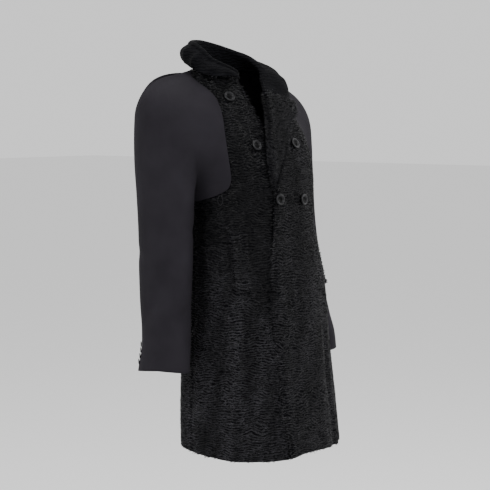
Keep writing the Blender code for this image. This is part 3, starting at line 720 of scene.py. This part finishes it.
def panel(limits, lift, seams=(True, True), lapel_side=False):
    """Both faces of a fur panel, and how bare it is.

    It sinks into its side seams, a line runs along a free edge, and the left one has the lapel's groove.
    """
    heights = panel_heights()
    start, end = limits(heights)
    share = np.linspace(0.0, 1.0, PANEL_COLUMNS + 1)
    angle = start[:, None] + (end - start)[:, None] * share
    z = hem_lifted(angle, heights[:, None])
    sunk = crease_depth(FUR_CREASES, BODY_GIRTH, angle, z)
    sunk = sunk + UNEVENNESS * wobble(body_point(angle, z), UNEVEN_SEED)
    bare = np.zeros(z.shape)
    if lapel_side:
        bare = beside_lapel(angle, z)
        sunk = sunk + LAPEL_GROOVE * bare
    for seam, apart in zip(seams, (angle - start[:, None], end[:, None] - angle)):
        reach = np.radians(apart) * body_half(z)
        if seam:
            dip = ridge(reach, SEAM_DIP_WIDTH)
            sunk, bare = sunk + SEAM_DIP * dip, bare + SEAM_BARE * dip
        else:
            line = ridge(reach - EDGE_LINE_IN, LINE_WIDTH)
            sunk, bare = sunk + EDGE_LINE * line, bare + line
    stand = lift(angle) - sunk
    inner = on_body(angle, z, np.minimum(stand, lift(angle)) - FUR_WALL)
    return on_body(angle, z, stand - FUR_BASE), inner, bare


def welt(limits, lift, mirrored):
    """A pocket welt over its columns of the front: a soft swell with a raised rim behind and below."""
    first, last = (c / FRONT_COLUMNS for c in WELT_COLUMNS)
    s = np.linspace(-1.0, 1.0, WELT_COLUMN_POINTS)
    t = np.linspace(-1.0, 1.0, WELT_ROW_POINTS)[:, None]
    behind = s
    if mirrored:
        first, last, behind = 1 - last, 1 - first, -s
    z = np.linspace(*WELT_ROWS, WELT_ROW_POINTS)[:, None]
    start, end = limits(z[:, 0])
    angle = start[:, None] + (end - start)[:, None] * np.linspace(first, last, WELT_COLUMN_POINTS)
    rim = 0.0
    for where, (place, width) in ((behind, WELT_RIM_BEHIND), (t, WELT_RIM_BELOW)):
        rim = rim + ridge(where - place, width)
    steep, steep_end = WELT_EDGE
    edge = np.minimum(1.0, np.minimum(steep * (1 - np.abs(s)), steep_end * (1 - np.abs(t)))) ** 0.5
    swell = WELT_WALL + WELT_BULGE * (1 - s**2) + WELT_RIM * np.minimum(rim, 1.0)
    swell = swell * (WELT_EDGE_LOW + (1 - WELT_EDGE_LOW) * edge)
    stand = lift(angle) + SEAM_GAP
    return on_body(angle, z, stand + swell - FUR_BASE / 2), on_body(angle, z, stand)


# ---- the folded lapel ----
def lapel_row(place, turns, laid):
    """One row of the lapel, shown face and hidden one: round the roll, then out to the free edge."""
    roll_z, edge_z, edge_x, rise, tip = place
    start, end = angle_at(left_edge_x(roll_z), np.array(roll_z)), angle_at(edge_x, np.array(edge_z))
    base = lap_lift(start)
    radius = FUR_WALL + rise / 2
    face, under = [], []
    for turn in turns:
        for row, r in ((face, radius - FUR_BASE), (under, radius - FUR_WALL)):
            side = -np.degrees((r * math.sin(turn) + SEAM_GAP) / body_half(roll_z))
            row.append(on_body(start + side, roll_z, base - FUR_WALL + radius - r * math.cos(turn)))
    for t in laid:
        z = roll_z + (edge_z - roll_z) * t
        angle = start + (end - start) * t
        lift = base * (1 - t) + lap_lift(angle) * t + rise * (1 - LAPEL_SINK * t * t)
        lift = lift + tip * t * t + LAYER_GAP + LAPEL_RIM * ridge(1 - t, LAPEL_RIM_SHARE)
        face.append(on_body(angle, z, lift + FUR_WALL - FUR_BASE))
        under.append(on_body(angle, z, lift))
    return np.array(face), np.array(under)


LAID = np.linspace(0.0, 1.0, FALL_POINTS + 1)[1:]


def lapel():
    turns = np.linspace(0.0, math.pi, ROLL_POINTS)
    heights = np.linspace(LAPEL[0][0], LAPEL[-1][0], LAPEL_ROWS)
    rows = [lapel_row((z, *(f(z) for f in lapel_tracks)), turns, LAID) for z in heights]
    return (np.array(face) for face in zip(*rows))


# ---- the collar ----
def neck_z_at(turn):
    """The height of the neck edge at an angle from the front."""
    heights = np.linspace(NECK_LOW_Z, RAGLAN[-1][0], NECK_POINTS)
    return np.interp(turn, -right_edge(heights), heights)


def collar_section(angle):
    """Both faces of the collar at one angle: up the stand, over the roll and down the fall."""
    roll_r, roll_z, edge_r, edge_z, bulge, spread = (f(angle) for f in collar_tracks)
    turn = angle if angle <= 180.0 else angle - 360.0
    stand = lap_lift(turn) if turn > 0 else 0.0
    seam = on_body(turn, neck_z_at(abs(turn)), stand - FUR_WALL / 2)
    seam_r = math.hypot(seam[0], seam[1] - COLLAR_MIDDLE_Y) - STAND_TUCK
    seam_z = seam[2] + NECK_GAP - STAND_TUCK
    top = roll_z - COLLAR_ROLL
    s = np.linspace(0.0, 1.0, STAND_POINTS, endpoint=False)
    stand_r = seam_r + (roll_r - COLLAR_ROLL - seam_r) * s
    line = [np.stack((stand_r, seam_z + (top - seam_z) * s), axis=1)]
    t = np.linspace(math.pi, 0.0, ROLL_POINTS)
    line.append(np.stack((roll_r + COLLAR_ROLL * np.cos(t), top + COLLAR_ROLL * np.sin(t)), axis=1))
    fall_r = roll_r + COLLAR_ROLL
    bow = bulge * np.sin(math.pi * LAID)
    fall_z = top + (edge_z - top) * LAID + bow / 2
    line.append(np.stack((fall_r + (edge_r - fall_r) * LAID + bow, fall_z), axis=1))
    line = np.concatenate(line)
    along = unit(np.gradient(line, axis=0))
    side = np.stack((-along[:, 1], along[:, 0]), axis=1)
    fan = np.zeros(len(line))
    fan[-FALL_POINTS:] = LAID
    turns = np.radians(turn + spread * fan)
    faces = []
    for off in (-FUR_WALL / 2 + FUR_BASE, FUR_WALL / 2):
        r, z = (line + side * off).T
        faces.append(np.stack((r * np.sin(turns), COLLAR_MIDDLE_Y - r * np.cos(turns), z), axis=1))
    return faces


def lumpy(outer, inner):
    """Both faces of the collar with its lumps, and with the folds that run down its fall."""
    lumps = COLLAR_LUMPS * wobble(outer, COLLAR_SEED)
    turns = np.degrees(np.arctan2(outer[..., 0], COLLAR_MIDDLE_Y - outer[..., 1])) % 360.0
    for place, width, depth in COLLAR_FOLDS:
        lumps = lumps - depth * ridge(turns - place, width)
    lumps = lumps[..., None] * grid_normals(outer)
    fade = np.sin(math.pi * np.linspace(0.0, 1.0, outer.shape[1]) ** 2)[:, None]
    return outer + lumps * fade, inner + lumps * fade


def collar():
    first, last = COLLAR[-1][0], COLLAR[0][0]
    angles = np.linspace(first, last, int((first - last) / COLLAR_FINE_STEP))
    shown, hidden = (list(face) for face in zip(*(collar_section(a) for a in angles)))
    turns = np.linspace(0.0, math.pi, STAND_POINTS + ROLL_POINTS)
    end, before = (lapel_row(place, turns, LAID) for place in (LAPEL[-1], LAPEL[-2]))
    for face, goal, below in zip((shown, hidden), end, before):
        goal = goal + unit(goal - below) * SEAM_GAP * 2
        start = face[-1]
        steps = np.linspace(0.0, 1.0, COLLAR_JOIN_ROWS + 1)[1:]
        face += [start + (goal - start) * step for step in steps]
    return lumpy(np.array(shown), np.array(hidden))


# ---- the sleeves ----
def arm_point(turn, z):
    """Points of the left arm's tube: a turn of 0 faces the body, 90 the front and 270 the back."""
    t = np.radians(turn)
    x, y = arm_x(z) - arm_half_x(z) * np.cos(t), arm_y(z) - arm_half_y(z) * np.sin(t)
    return np.stack((x, y, z), axis=-1)


def seam_loop():
    """Angles and heights of the sleeve's edge: up the front raglan seam and down the back one."""
    share = np.linspace(0.0, 1.0, SEAM_POINTS) ** SEAM_BUNCHING
    heights = share * (RAGLAN[-1][0] - UNDERARM_Z) + UNDERARM_Z
    gap = np.degrees(SEAM_GAP / body_half(heights))
    raised = heights + SEAM_GAP * (1 - smooth_step(UNDERARM_Z, SEAM_STEEP_Z, heights))
    angles = np.concatenate((raglan_front(heights) + gap, (raglan_back(heights) - gap)[:0:-1]))
    return angles, np.concatenate((raised, raised[:0:-1]))


def sleeve():
    """Rows from the cuff up the left arm, then over the shoulder to the raglan seam: outer and inner."""
    angles, heights = seam_loop()
    angles[0] = SIDE_SEAM
    ends, normals = on_body(angles, heights, -FUR_PROUD), body_normal(angles, heights)
    lengths = np.linalg.norm(np.roll(ends, -1, axis=0) - ends, axis=1)
    turns = 360.0 * (np.cumsum(lengths) - lengths) / lengths.sum()
    outward = (1 - np.cos(np.radians(turns))) / 2
    backward = np.maximum(0.0, -np.sin(np.radians(turns)))
    low = CUFF_Z + CUFF_RISE_OUT * (outward - 0.5) - CUFF_DROP_BACK * backward
    high = ARM_TOP_INNER_Z + (ARM_TOP_OUTER_Z - ARM_TOP_INNER_Z) * outward + ARM_TOP_BACK_RISE * backward
    t = np.linspace(0.0, 1.0, SLEEVE_ROWS)[:, None]
    tube = arm_point(turns, low + (high - low) * t)
    start = tube[-1]
    up = unit(start - arm_point(turns, high - ARM_END_STEP))
    along = unit(np.roll(ends, -1, axis=0) - np.roll(ends, 1, axis=0))
    inward = np.cross(normals, along)
    flat = (CAP_FLAT_SHARE * smooth_step(*CAP_FLAT, outward))[:, None]
    inward = inward * (1 - flat) + unit((ends - start) * (1.0, 1.0, 0.0)) * flat
    reach = np.linalg.norm(ends - start, axis=1)
    pull_arm = (reach * (CAP_PULL + CAP_PULL_SHOULDER_ARM * outward**2))[:, None]
    pull_seam = (reach * (CAP_PULL + CAP_PULL_SHOULDER_SEAM * outward**2))[:, None]
    t = np.linspace(0.0, 1.0, SLEEVE_CAP_ROWS + 1)[1:, None, None]
    grid = np.concatenate((tube, cubic(start, up * pull_arm, ends, inward * pull_seam, t)))
    outward_normals = grid_normals(grid, round_=True)
    outward_normals[-1] = normals
    rows = np.concatenate((np.zeros(SLEEVE_ROWS), np.linspace(0.0, 1.0, SLEEVE_CAP_ROWS + 1)[1:]))
    settle = 1 - smooth_step(*CREASE_FADE, rows)[:, None]
    depth = crease_depth(CREASES, ARM_GIRTH, turns, grid[..., 2]) * settle
    outer = grid - outward_normals * depth[..., None]
    return outer, outer - outward_normals * CLOTH_WALL


# ---- buttons ----
def turned(name, profile, sides, centre, normal):
    """A closed round piece from (radius, height, paler) rows, the first and last on its axis; the paler
    rows take the second material, a painted highlight.
    """
    across = unit(np.cross(normal, (0.0, 0.0, 1.0)))
    up = np.cross(normal, across)
    turns = 2 * math.pi * np.arange(sides) / sides
    spokes = across * np.cos(turns)[:, None] + up * np.sin(turns)[:, None]
    rings = [centre + normal * h + spokes * r for r, h, _ in profile[1:-1]]
    points = [centre + normal * profile[0][1], *np.concatenate(rings), centre + normal * profile[-1][1]]
    last, count = len(points) - 1, len(rings)
    faces, finishes = [], []
    for k in range(sides):
        n = (k + 1) % sides
        faces.append((0, 1 + n, 1 + k))
        finishes.append(0)
        for ring in range(count - 1):
            a, b = 1 + ring * sides, 1 + (ring + 1) * sides
            faces.append((a + k, a + n, b + n, b + k))
            finishes.append(profile[ring + 1][2])
        a = 1 + (count - 1) * sides
        faces.append((a + k, a + n, last))
        finishes.append(0)
    made = new_object(name, points, faces, GLOSS)
    made.data.materials.append(RIM_GLOSS)
    made.data.polygons.foreach_set("material_index", finishes)
    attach(made, "root")
    return made


def button_profile(radius, height, bead, inner):
    """A short shank, a flat underside, a rounded rim whose top is painted paler as a highlight, and a
    dished dark middle.
    """
    middle, half = (1 + inner) / 2 * radius, (1 - inner) / 2 * radius
    rim = [
        (middle + half * math.cos(t), height + bead * math.sin(t), 1 if t > RIM_HIGHLIGHT_TURN else 0)
        for t in np.linspace(*RIM_TURNS, RIM_POINTS)
    ]
    foot, top = (share * radius for share in SHANK_SHARES)
    shank = [(0.0, SHANK_LIFT, 0), (foot, SHANK_LIFT, 0), (top, height - bead, 0)]
    side, centre = (height - bead * share for share in DISH_SINK)
    return [*shank, *rim, (inner * radius * DISH_SHARE, side, 0), (0.0, centre, 0)]


def front_button(node, x, z, layer):
    angle = angle_at(x, np.array(z))
    place = on_body(angle, z, (FUR_WALL + LAYER_GAP) * layer)
    *form, sides = FRONT_BUTTON
    made = turned(node + "_turned", button_profile(*form), sides, place, body_normal(angle, z))
    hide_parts(node)


def cuff_button(node, z, side):
    z = np.array(z)
    place = arm_point(CUFF_BUTTON_TURN, z)
    before, after = (arm_point(CUFF_BUTTON_TURN + arc, z) for arc in (-CUFF_BUTTON_ARC, CUFF_BUTTON_ARC))
    normal = unit(np.cross((0.0, 0.0, 1.0), after - before))
    normal = normal * math.copysign(1.0, normal @ (place - (arm_x(z), arm_y(z), z)))
    mirror = np.array((side, 1.0, 1.0))
    *form, sides = CUFF_BUTTON
    made = turned(node + "_turned", button_profile(*form), sides, place * mirror, normal * mirror)
    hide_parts(node)


def thread_loop():
    """A small loop of thread that stands on the right front below its raglan seam."""
    centre, normal = on_body(*LOOP_PLACE, LOOP_LIFT), body_normal(*LOOP_PLACE)
    across = unit(np.cross(normal, (0.0, 0.0, 1.0)))
    up = np.cross(across, normal)
    around = 2 * math.pi * np.arange(LOOP_POINTS) / LOOP_POINTS
    bead = 2 * math.pi * np.arange(THREAD_SIDES) / THREAD_SIDES
    half_width, half_height, thread = LOOP_SIZE
    cosine, sine = np.cos(around)[:, None], np.sin(around)[:, None]
    path = across * half_width * cosine + up * half_height * sine
    outward = unit(across * cosine / half_width + up * sine / half_height)
    ring = outward[:, None] * np.cos(bead)[None, :, None] + normal * np.sin(bead)[None, :, None]
    points = centre + path[:, None] + ring * thread
    index = np.arange(LOOP_POINTS * THREAD_SIDES).reshape(LOOP_POINTS, THREAD_SIDES)
    ahead, beside = np.roll(index, -1, axis=0), np.roll(index, -1, axis=1)
    faces = np.stack((index, ahead, np.roll(ahead, -1, axis=1), beside), axis=-1).reshape(-1, 4)
    made = new_object("thread_loop", points, faces.tolist(), RIM_GLOSS)
    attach(made, "root")


# ---- materials ----
def new_material(name, colour, roughness, gleam=0.5):
    made = bpy.data.materials.new(name)
    made.use_nodes = True
    shader = made.node_tree.nodes["Principled BSDF"]
    shader.inputs["Base Color"].default_value = colour
    shader.inputs["Roughness"].default_value = roughness
    shader.inputs["Specular IOR Level"].default_value = gleam
    return made, made.node_tree, shader


def add(tree, kind, **settings):
    node = tree.nodes.new("ShaderNode" + kind)
    for key, value in settings.items():
        if hasattr(node, key):
            setattr(node, key, value)
        else:
            node.inputs[key.replace("_", " ")].default_value = value
    return node


def lay_out(tree, *textures):
    """Places textures by the coat's own coordinates."""
    place = add(tree, "TexCoord")
    for texture in textures:
        tree.links.new(place.outputs["Object"], texture.inputs["Vector"])


def ramp_colour(tree, factor, low, high, shader, start=0.3, end=0.7):
    """Colours a shader from one colour to another as a factor runs from start to end."""
    ramp = add(tree, "ValToRGB")
    for stop, position, colour in zip(ramp.color_ramp.elements, (start, end), (low, high)):
        stop.position, stop.color = position, colour
    tree.links.new(factor, ramp.inputs["Fac"])
    tree.links.new(ramp.outputs["Color"], shader.inputs["Base Color"])


def bump(tree, height, strength, distance, shader):
    node = add(tree, "Bump", Strength=strength, Distance=distance)
    tree.links.new(height, node.inputs["Height"])
    tree.links.new(node.outputs["Normal"], shader.inputs["Normal"])


STREAKS = (22.0, 22.0, 6.0)  # how often the patches of the pile change along x, y and z, per metre


def fur_cloth():
    """The hide under the pile: dark, with fine wavy ripples across it."""
    made, tree, shader = new_material("fur_cloth", (0.004, 0.004, 0.005, 1.0), 0.8, gleam=0.05)
    noise = add(tree, "TexNoise", Scale=90.0, Detail=4.0)
    wave = add(tree, "TexWave", bands_direction="Z", Scale=46.0, Distortion=7.0, Detail=3.0)
    wave.inputs["Detail Scale"].default_value = 1.6
    lay_out(tree, noise, wave)
    ramp_colour(tree, noise.outputs["Fac"], (0.001, 0.001, 0.0015, 1), (0.003, 0.003, 0.004, 1), shader)
    bump(tree, wave.outputs["Fac"], 0.9, 0.0015, shader)
    return made


def map_range(tree, source, low, high, from_low, from_high):
    """A value that runs from low to high while its source runs between the last two."""
    node = add(tree, "MapRange")
    sockets = ("From Min", "From Max", "To Min", "To Max")
    for socket, value in zip(sockets, (from_low, from_high, low, high)):
        node.inputs[socket].default_value = value
    tree.links.new(source, node.inputs["Value"])
    return node.outputs["Result"]


def fur_pile(name, dark, light, shaded_top_share, low_z, high_z):
    """Glossy black hair in upright streaks and patches; its light colour fades to a share of it up the
    coat, a painted shade that darkens the pile toward the top.
    """
    made, tree, shader = new_material(name, light, 0.4, gleam=0.16)
    geometry = add(tree, "NewGeometry")
    squeeze = add(tree, "VectorMath", operation="MULTIPLY")
    squeeze.inputs[1].default_value = STREAKS
    patch = add(tree, "TexNoise", Scale=1.0, Detail=4.0, Roughness=0.6)
    axes = add(tree, "SeparateXYZ")
    mix, fade = (add(tree, "Math", operation="MULTIPLY") for _ in range(2))
    lay_out(tree, squeeze, axes)
    tree.links.new(squeeze.outputs["Vector"], patch.inputs["Vector"])
    tree.links.new(geometry.outputs["Random Per Island"], mix.inputs[0])
    tree.links.new(map_range(tree, patch.outputs["Fac"], 0.22, 0.80, 0.36, 0.64), mix.inputs[1])
    tree.links.new(mix.outputs["Value"], fade.inputs[0])
    # Painted shade: the colour fades from full at low_z to the shaded top share at high_z.
    tree.links.new(map_range(tree, axes.outputs["Z"], 1.0, shaded_top_share, low_z, high_z), fade.inputs[1])
    ramp_colour(tree, fade.outputs["Value"], dark, light, shader, start=0.10, end=0.62)
    return made


def sleeve_cloth():
    """Plain dark wool-like cloth with a fine twill and faint unevenness."""
    made, tree, shader = new_material("sleeve_cloth", (0.016, 0.014, 0.018, 1.0), 0.85, gleam=0.12)
    fine = add(tree, "TexNoise", Scale=900.0, Detail=3.0)
    broad = add(tree, "TexNoise", Scale=14.0, Detail=5.0)
    twill = add(
        tree, "TexWave", bands_direction="DIAGONAL", Scale=420.0, Distortion=1.5, Detail=1.0
    )
    mix = add(tree, "Math", operation="ADD")
    lay_out(tree, fine, broad, twill)
    tree.links.new(fine.outputs["Fac"], mix.inputs[0])
    tree.links.new(twill.outputs["Fac"], mix.inputs[1])
    dark, light = (0.0095, 0.0083, 0.0110, 1), (0.0145, 0.0128, 0.0168, 1)
    ramp_colour(tree, broad.outputs["Fac"], dark, light, shader)
    bump(tree, mix.outputs["Value"], 0.35, 0.0004, shader)
    return made


def gloss_black(name, dark, light, roughness, gleam):
    """Polished black plastic with a faint cloudiness."""
    made, tree, shader = new_material(name, light, roughness, gleam)
    noise = add(tree, "TexNoise", Scale=220.0, Detail=3.0)
    lay_out(tree, noise)
    ramp_colour(tree, noise.outputs["Fac"], dark, light, shader)
    bump(tree, noise.outputs["Fac"], 0.12, 0.0003, shader)
    return made


FUR_CLOTH, SLEEVE_CLOTH = fur_cloth(), sleeve_cloth()
# Lit and shaded copies of one fur pile, each with its own light colour and fade, are painted light. The
# rippled pile of the back and right front is lighter low down, a painted highlight, and darker up the
# chest, painted shade. The left front's smooth pile keeps more of its light up the chest, a painted
# sheen. The lapel's and the collar's piles are darker, painted shade. The welt's pile is lighter at its
# lower edge, a painted highlight.
PILE_DARK = (0.0010, 0.0010, 0.0015, 1)
RIPPLED_PILE = fur_pile("rippled_pile", PILE_DARK, (0.039, 0.038, 0.044, 1), 0.40, -0.56, -0.36)
SMOOTH_PILE = fur_pile("smooth_pile", PILE_DARK, (0.028, 0.027, 0.031, 1), 0.85, -0.60, -0.30)
LAPEL_PILE = fur_pile("lapel_pile", PILE_DARK, (0.013, 0.0125, 0.0155, 1), 0.80, -0.20, -0.06)
COLLAR_PILE = fur_pile("collar_pile", PILE_DARK, (0.026, 0.025, 0.030, 1), 0.90, -0.10, 0.02)
WELT_PILE = fur_pile("welt_pile", PILE_DARK, (0.036, 0.035, 0.040, 1), 0.60, -0.47, -0.42)
GLOSS = gloss_black("button_gloss", (0.0006, 0.0006, 0.0009, 1), (0.0016, 0.0016, 0.002, 1), 0.42, 0.06)
# The rim's paler colour is a painted highlight where the buttons' bead wears it; the thread loop wears
# it as the thread's own colour.
RIM_GLOSS = gloss_black(
    "button_rim", (0.0045, 0.0045, 0.0055, 1), (0.0085, 0.0085, 0.010, 1), 0.34, 0.20
)


# ---- the coat ----
def build():
    right = panel(right_limits, no_lift, seams=(True, False))
    left = panel(left_limits, lap_lift, seams=(False, True), lapel_side=True)
    fur_piece("back", panel(back_limits, no_lift), RIPPLED_PILE)
    fur_piece("front_right", right, RIPPLED_PILE)
    fur_piece("front_left", left, SMOOTH_PILE)
    fur_piece("lapel_left", lapel(), LAPEL_PILE)
    fur_piece("collar", collar(), COLLAR_PILE, around=True)
    fur_piece("pocket_welt_right", welt(right_limits, no_lift, False), WELT_PILE)
    fur_piece("pocket_welt_left", welt(left_limits, lap_lift, True), WELT_PILE)
    outer, inner = sleeve()
    for side_name, side in (("right", -1.0), ("left", 1.0)):
        mirror = np.array((side, 1.0, 1.0))
        shown, hidden = outer * mirror, inner * mirror
        if side < 0:
            shown, hidden = shown[:, ::-1], hidden[:, ::-1]
        name = "sleeve_" + side_name
        made = sheet_object(name + "_cloth", shown, hidden, SLEEVE_CLOTH, round_=True)
        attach(made, "root")
        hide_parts("sleeve_upper_" + side_name, "sleeve_under_" + side_name)
        for number, z in enumerate(CUFF_BUTTON_HEIGHTS, start=1):
            cuff_button(f"cuff_button_{side_name}_{number}", z, side)
    for row in BUTTONS:
        front_button(*row)
    thread_loop()


build()


# ---- floor, light and camera ----
FLOOR_Z = -1.42
FLOOR_REACH = 30.0
FLOOR_COLOUR = (0.86, 0.86, 0.86, 1.0)
SKY_COLOUR = (1.0, 1.0, 1.0, 1.0)
VIEW_AZIMUTH = -50.0  # degrees from the front, minus toward the wearer's right
VIEW_DISTANCE = 4.3
VIEW_HEIGHT = -0.057
VIEW_PITCH = 4.39  # degrees that the camera looks down
VIEW_ASIDE = 0.0295
VIEW_LENS = 139.0  # focal length and sensor width in millimetres
SENSOR_WIDTH = 36.0

# Soft round lights: place, the point each one faces, diameter and power.
LIGHTS = {
    "key": ((-1.2, -3.2, 2.2), (0.0, 0.0, -0.35), 1.6, 90.0),
    "side": ((-3.4, 0.2, 1.2), (0.0, 0.0, -0.4), 1.4, 45.0),
    "fill": ((2.8, -2.0, 0.8), (0.0, 0.0, -0.4), 1.8, 40.0),
    "top": ((0.0, 0.8, 3.0), (0.0, 0.0, -0.3), 2.0, 60.0),
}


def stage():
    finish, _, _ = new_material("floor_paint", FLOOR_COLOUR, 0.9)
    corners = ((-1, -1), (1, -1), (1, 1), (-1, 1))
    points = [(x * FLOOR_REACH, y * FLOOR_REACH, FLOOR_Z) for x, y in corners]
    new_object("floor", points, [(0, 1, 2, 3)], finish)
    world = bpy.data.worlds.new("studio")
    world.use_nodes = True
    sky = world.node_tree.nodes["Background"].inputs
    sky["Color"].default_value, sky["Strength"].default_value = SKY_COLOUR, 1.0
    bpy.context.scene.world = world


def soft_light(name, place, aim, size, power):
    light = bpy.data.lights.new(name, "AREA")
    light.shape, light.size, light.energy = "DISK", size, power
    made = placed(name, light)
    made.location = place
    made.rotation_euler = (Vector(aim) - Vector(place)).to_track_quat("-Z", "Y").to_euler()


def camera():
    a, pitch = math.radians(VIEW_AZIMUTH), math.radians(VIEW_PITCH)
    toward = Vector((math.sin(a), -math.cos(a), 0.0))
    right = Vector((math.cos(a), math.sin(a), 0.0))
    data = bpy.data.cameras.new("photo_view")
    data.lens, data.sensor_width = VIEW_LENS, SENSOR_WIDTH
    made = placed("photo_view", data)
    made.location = toward * VIEW_DISTANCE + right * VIEW_ASIDE + Vector((0.0, 0.0, VIEW_HEIGHT))
    look = -toward * math.cos(pitch) - Vector((0.0, 0.0, math.sin(pitch)))
    made.rotation_euler = look.to_track_quat("-Z", "Y").to_euler()
    bpy.context.scene.camera = made


stage()
for light_name, setting in LIGHTS.items():
    soft_light(light_name, *setting)
camera()
